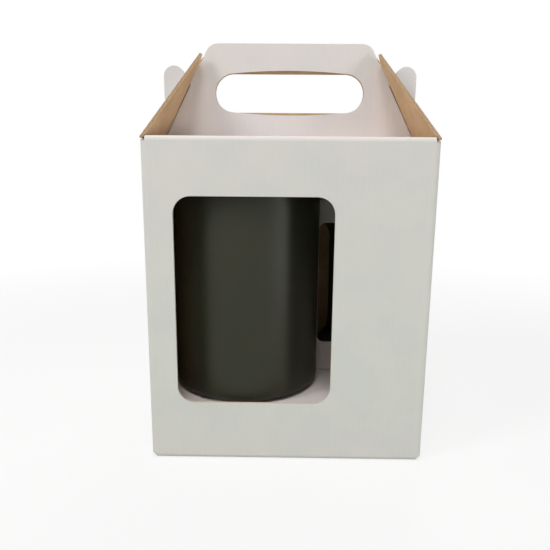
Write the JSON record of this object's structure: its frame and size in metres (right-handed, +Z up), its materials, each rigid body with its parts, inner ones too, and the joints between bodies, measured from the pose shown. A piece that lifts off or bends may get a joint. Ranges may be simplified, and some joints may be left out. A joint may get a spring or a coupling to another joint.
{
  "type": "mug gift box",
  "caption": "Corrugated gift carton with a side-set window, a locking carry handle and hinged side flaps, holding a mug on a folded inner card.",
  "frame": {"origin": "middle of the base, on the surface that the box stands on", "axes": "+Z up, the window faces -Y, +X to the right of someone who looks at the window"},
  "size_m": [0.148, 0.098, 0.2255],
  "materials": {
    "white_board": "white-lined micro-flute board, brown kraft inside, matt",
    "flap_board": "the same board with its kraft face turned in, matt",
    "card_board": "white-lined folded card, kraft on the outside of its folds, matt",
    "mug_glaze": "satin dark olive-charcoal glaze"
  },
  "bodies": {
    "box": {"carton": "white_board", "roof_handle": "white_board", "inner_card": "card_board", "mug": "mug_glaze"},
    "left_flap": {"left_flap": "flap_board"},
    "right_flap": {"right_flap": "flap_board"}
  },
  "joints": [
    {"name": "left_flap_hinge", "type": "hinge", "parent": "box", "child": "left_flap", "pos_m": [-0.0732, 0, 0.1722], "axis": [0, -1, 0], "range_deg": [0, 130]},
    {"name": "right_flap_hinge", "type": "hinge", "parent": "box", "child": "right_flap", "pos_m": [0.0732, 0, 0.1722], "axis": [0, 1, 0], "range_deg": [0, 130]}
  ]
}
